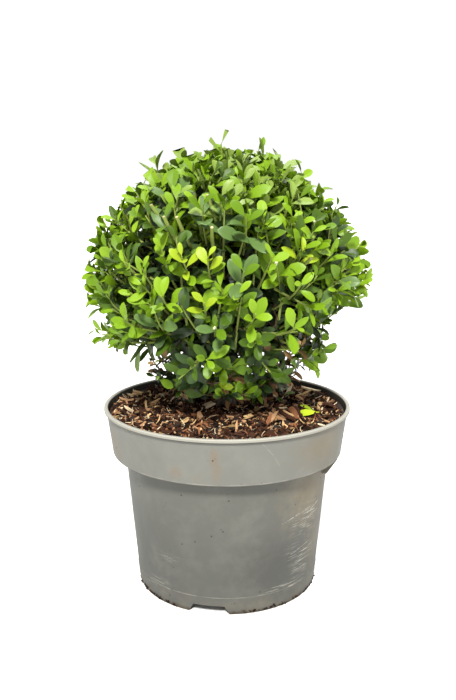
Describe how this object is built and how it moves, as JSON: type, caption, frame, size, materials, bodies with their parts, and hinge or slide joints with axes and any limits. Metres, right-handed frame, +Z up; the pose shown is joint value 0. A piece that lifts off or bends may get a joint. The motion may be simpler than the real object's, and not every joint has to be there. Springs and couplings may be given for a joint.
{
  "type": "potted japanese holly ball",
  "caption": "Small evergreen shrub clipped to a ball on a short forked trunk, with low leafy sprigs round its foot, standing in a round tapered plastic pot filled with bark mulch.",
  "frame": {"origin": "middle of the pot's flat underside, on the pot's axis", "axes": "+Z up along the pot's axis, the long way of the whole plant; -Y is the side seen from the front"},
  "size_m": [0.2622, 0.2645, 0.4215],
  "materials": {
    "pot_plastic": "matt warm grey, scuffed",
    "bark_mulch": "dark moist bark mulch",
    "bark": "rough brown bark",
    "foliage": "green leaves with a soft gloss"
  },
  "bodies": {
    "root": {"pot": "pot_plastic", "soil": "bark_mulch", "trunk": "bark", "leader": "bark", "bough_1": "bark", "bough_2": "bark", "bough_3": "bark", "bough_4": "bark", "bough_5": "bark", "bough_6": "bark", "low_bough_1": "bark", "low_bough_2": "bark", "low_bough_3": "bark", "low_bough_4": "bark", "low_bough_5": "bark", "low_bough_6": "bark", "foliage_ball": "foliage", "low_sprig_1": "foliage", "low_sprig_2": "foliage", "low_sprig_3": "foliage", "low_sprig_4": "foliage", "low_sprig_5": "foliage", "low_sprig_6": "foliage"}
  },
  "joints": []
}
